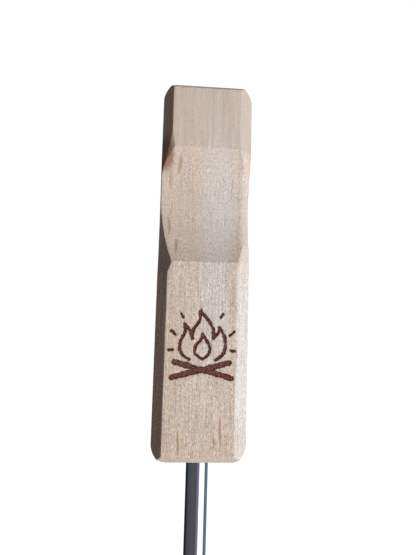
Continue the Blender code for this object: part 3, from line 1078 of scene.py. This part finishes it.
def rod_fillet_profile(fork, rod):
    """A concave ring of braze round the rod where it enters the collar."""
    leg = fork.braze * 0.7
    inside = ((rod - BURIED, -leg), (rod - BURIED, BURIED), (rod + leg, BURIED))
    return [*arc((rod + leg, -leg), leg, 90, 180, 6), *map(Vector, inside)]


def wire_fillet_mesh(fork):
    """Concave braze round the wire on both sides of the collar."""
    mesh = bpy.data.meshes.new("braze_at_wire")
    bm = bmesh.new()
    collar = collar_radius()
    wire_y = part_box("fork_wire")[1].y - fork.wire_radius
    wire, inner = fork.wire_radius, fork.wire_radius - 1.5 * BURIED
    sides, steps = 48, 7
    for side in (-1, 1):
        rings = []
        for i in range(sides):
            turn = 2 * pi * i / sides
            y, z = cos(turn), sin(turn)

            def at(away, lift):
                reach = min(abs(away * z), collar * 0.98)
                x = sqrt(collar**2 - reach**2) + lift
                return bm.verts.new((AXIS.x + side * x, wire_y + away * y, AXIS.z + away * z))

            spread = fork.braze * (0.85 + 0.15 * cos(3 * turn + side))
            loop = [at(inner, -2 * BURIED), at(wire + spread, -BURIED)]
            for k in range(steps + 1):
                bend = pi / 2 * k / steps
                loop.append(at(wire + spread * (1 - sin(bend)), spread * (1 - cos(bend))))
            rings.append([*loop, at(inner, spread)])
        for first, second in zip(rings, rings[1:] + rings[:1]):
            join_rings(bm, first, second)
    fill_mesh(mesh, bm)
    mesh.shade_smooth()
    return mesh


# Stage

# The camera's turn is in degrees, and its lens and sensor in millimetres
CAMERA_PLACE = Vector((-7.5, -18.1, 170.6)) * MM
CAMERA_TURN = (5.51, -3.65, 1.58)
LENS = 27.24
SENSOR = 36
FLOOR_DROP = 0.2 * MM
WHITE = (1.0, 1.0, 1.0)
# The room that shows in the steel: degrees about the Y axis from the zenith towards +X, and the light there
ROOM = (
    (-180, (0.016, 0.028, 0.037)), (-112, (0.016, 0.028, 0.037)), (-98, (0.088, 0.092, 0.105)),
    (-30, (0.13, 0.13, 0.14)), (-4, (0.11, 0.11, 0.125)), (5, (0.20, 0.22, 0.32)),
    (25, (0.30, 0.32, 0.42)), (29, (1.9, 1.95, 2.0)), (34, (2.2, 2.2, 2.2)), (60, (2.0, 2.0, 2.0)),
    (84, (1.8, 1.85, 1.9)), (88, (0.4, 0.46, 0.54)),
    (97, (0.10, 0.18, 0.24)), (130, (0.22, 0.30, 0.36)), (180, (0.12, 0.22, 0.30)),
)
# Its plain end towards +Y, and a step on the way's Y that lets it in
ROOM_END = (0.30, 0.32, 0.35)
ROOM_END_FADE = (-0.31, -0.18, 0, 0.85)
# What the room sends to matt surfaces
FILL = (0.004, 0.003, 0.0025)
# Softboxes: where each stands, its width along Y and its height, and where they point, in metres
KEY = ((1.15, -0.44, 1.22), 1.5, 0.5)
CARD = ((1.02, -0.45, 0.385), 0.6, 0.70)
AIM = Vector((0, -0.02, 0.02))


def build_world():
    """A dark room for reflections, a dim warm fill for matt surfaces, and plain white behind."""
    world = bpy.data.worlds.new("studio")
    world.use_nodes = True
    world.node_tree.nodes.clear()
    nodes = Nodes(world.node_tree)
    x, y, z = nodes.split(nodes.make("ShaderNodeTexCoord").out("Generated"))
    angle = x.math("ARCTAN2", x, z) / (2 * pi) + 0.5
    stops = [(degrees / 360 + 0.5, color) for degrees, color in ROOM]
    room = nodes.make("ShaderNodeValToRGB", {0: angle}, stops=stops)
    room = nodes.mix(y.step(*ROOM_END_FADE), room, ROOM_END)
    path = nodes.make("ShaderNodeLightPath")
    color = nodes.mix(path.out("Is Glossy Ray"), FILL, room)
    color = nodes.mix(path.out("Is Camera Ray"), color, WHITE)
    shader = nodes.make("ShaderNodeBackground", {"Color": color, "Strength": 1.0})
    nodes.make("ShaderNodeOutputWorld", {"Surface": shader})
    bpy.context.scene.world = world


def floor_material(stage):
    """Plain pale floor that stays evenly lit."""
    material, nodes = new_material("pale_floor")
    path = nodes.make("ShaderNodeLightPath")
    color = nodes.mix(path.out("Is Camera Ray"), stage.bounce, WHITE)
    finish_material(
        nodes, Base_Color=(0.08, 0.08, 0.08), Roughness=0.9, Emission_Color=color,
        Emission_Strength=1.0, Specular_IOR_Level=0.0,
    )
    return material


def add_softbox(name, centre, width, height, power):
    """An area light that faces the fork."""
    light = bpy.data.lights.new(name, "AREA")
    light.shape = "RECTANGLE"
    light.size = width
    light.size_y = height
    light.energy = power
    thing = new_object(name, light)
    # The room alone shows in the steel
    thing.visible_glossy = False
    facing = (Vector(centre) - AIM).normalized()
    # Its width lies along Y as nearly as the aim allows
    across = (Vector((0, 1, 0)) - facing * facing.y).normalized()
    turned = Matrix((across, facing.cross(across), facing)).transposed()
    thing.matrix_world = Matrix.Translation(centre) @ turned.to_4x4()


def build_camera():
    camera = new_object("camera", bpy.data.cameras.new("camera"))
    camera.data.sensor_width = SENSOR
    camera.data.lens = LENS
    camera.data.clip_start = 0.01
    camera.location = CAMERA_PLACE
    camera.rotation_euler = Euler([radians(a) for a in CAMERA_TURN])
    bpy.context.scene.camera = camera


# Operators


class ROASTING_OT_handle(bpy.types.Operator):
    """Build the maple handle with its thumb scoop and burnt campfire"""

    bl_idname = "roasting.handle"
    bl_label = "Build handle"

    def execute(self, context):
        settings = context.scene.roasting_handle
        mesh = build_handle_mesh(settings)
        mesh.shade_smooth()
        piece = add_piece("handle_maple", mesh, maple_material(settings), "handle_and_tube")
        weighted = piece.modifiers.new("flat faces", "WEIGHTED_NORMAL")
        weighted.weight = 100
        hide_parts("handle")
        return {"FINISHED"}


class ROASTING_OT_shaft(bpy.types.Operator):
    """Turn the outer tube and the sliding sections"""

    bl_idname = "roasting.shaft"
    bl_label = "Build shaft"

    def execute(self, context):
        shaft = context.scene.roasting_shaft
        tree = turning_tree()
        steel = steel_material(shaft)
        for number, (node, body) in enumerate(SECTIONS.items()):
            low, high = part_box(node)
            profile = section_profile(shaft, number, high.y - low.y)
            values = {"Sides": shaft.sides, "Material": steel}
            piece = turn_piece(node + "_steel", profile, node, tree, values, body)
            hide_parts(node)
        return {"FINISHED"}


class ROASTING_OT_fork(bpy.types.Operator):
    """Bend the two-prong wire fork and turn its brazed collar"""

    bl_idname = "roasting.fork"
    bl_label = "Build fork"

    def execute(self, context):
        scene = context.scene
        fork, shaft = scene.roasting_fork, scene.roasting_shaft
        silver = mottled_material(
            "silver_braze", fork.silver, (0.42, 0.34, 0.22), patches=(0.7, 2, 0.45, 0.7),
            grain=((1.6, 1.6, 1.6), 3), roughness=(0.22, 0.2), relief=(0.3, 0.00012),
        )
        values = {"Radius": fork.wire_radius, "Sides": fork.wire_sides, "Material": wire_material(fork)}
        wire = grow("fork_wire_steel", wire_mesh(fork), wire_tree(), values, "fork_and_rod")
        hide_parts("fork_wire")

        low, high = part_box("fork_collar")
        tree = turning_tree()
        values = {"Sides": shaft.sides, "Material": steel_material(shaft)}
        profile = collar_profile(fork, high.y - low.y)
        collar = turn_piece("fork_collar_steel", profile, "fork_collar", tree, values, "fork_and_rod")
        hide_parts("fork_collar")

        values["Material"] = silver
        profile = rod_fillet_profile(fork, section_radius(shaft, len(SECTIONS) - 1))
        piece = turn_piece("braze_at_rod", profile, "fork_collar", tree, values, "fork_and_rod")
        mesh = wire_fillet_mesh(fork)
        add_piece("braze_at_wire", mesh, silver, "fork_and_rod")
        return {"FINISHED"}


class ROASTING_OT_fittings(bpy.types.Operator):
    """Give the friction shims and the plug their finishes"""

    bl_idname = "roasting.fittings"
    bl_label = "Finish fittings"

    def execute(self, context):
        shaft = context.scene.roasting_shaft
        bronze = mottled_material(
            "spring_bronze", shaft.bronze, (0.40, 0.235, 0.10), patches=(0.6, 3, 0.45, 0.7),
            grain=((0.4, 7, 7), 3), roughness=(0.28, 0.16), relief=(0.12, 0.00003),
        )
        nylon = mottled_material(
            "black_nylon", shaft.nylon, (0.04, 0.04, 0.043), patches=(0.8, 2, 0.5, 0.75),
            grain=((9, 9, 9), 2), roughness=(0.48, 0.18), relief=(0.15, 0.00004), metallic=0.0,
        )
        for name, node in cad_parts.items():
            if name.startswith("shim_") or name == "tube_plug":
                node.data.materials.clear()
                node.data.materials.append(nylon if name == "tube_plug" else bronze)
        return {"FINISHED"}


class ROASTING_OT_stage(bpy.types.Operator):
    """Set out the pale floor, the softboxes, the room and the camera"""

    bl_idname = "roasting.stage"
    bl_label = "Set stage"

    def execute(self, context):
        stage = context.scene.roasting_stage
        half, level = stage.floor_half, -FLOOR_DROP
        mesh = bpy.data.meshes.new("floor")
        corners = [(-half, -half, level), (half, -half, level), (half, half, level), (-half, half, level)]
        mesh.from_pydata(corners, [], [(0, 1, 2, 3)])
        mesh.materials.append(floor_material(stage))
        ground = new_object("floor", mesh)
        ground.visible_glossy = False
        build_world()
        add_softbox("key_softbox", *KEY, stage.key_power)
        add_softbox("side_card", *CARD, stage.card_power)
        context.scene.view_settings.view_transform = "Standard"
        build_camera()
        return {"FINISHED"}


class ROASTING_PT_panel(bpy.types.Panel):
    """Lists the pieces of the roasting fork"""

    bl_idname = "ROASTING_PT_panel"
    bl_label = "Roasting fork"
    bl_space_type = "VIEW_3D"
    bl_region_type = "UI"
    bl_category = "Roasting fork"

    def draw(self, context):
        for operator in OPERATORS:
            self.layout.operator(operator.bl_idname)


OPERATORS = (
    ROASTING_OT_handle,
    ROASTING_OT_shaft,
    ROASTING_OT_fork,
    ROASTING_OT_fittings,
    ROASTING_OT_stage,
)
SETTINGS = {
    "roasting_handle": HandleSettings,
    "roasting_shaft": ShaftSettings,
    "roasting_fork": ForkSettings,
    "roasting_stage": StageSettings,
}


def register():
    for kind in (*SETTINGS.values(), *OPERATORS, ROASTING_PT_panel):
        bpy.utils.register_class(kind)
    for name, kind in SETTINGS.items():
        setattr(bpy.types.Scene, name, PointerProperty(type=kind))


def unregister():
    for name in SETTINGS:
        delattr(bpy.types.Scene, name)
    for kind in reversed((*SETTINGS.values(), *OPERATORS, ROASTING_PT_panel)):
        bpy.utils.unregister_class(kind)


def main():
    register()
    bpy.ops.roasting.handle()
    bpy.ops.roasting.shaft()
    bpy.ops.roasting.fork()
    bpy.ops.roasting.fittings()
    bpy.ops.roasting.stage()


if __name__ == "__main__":
    main()
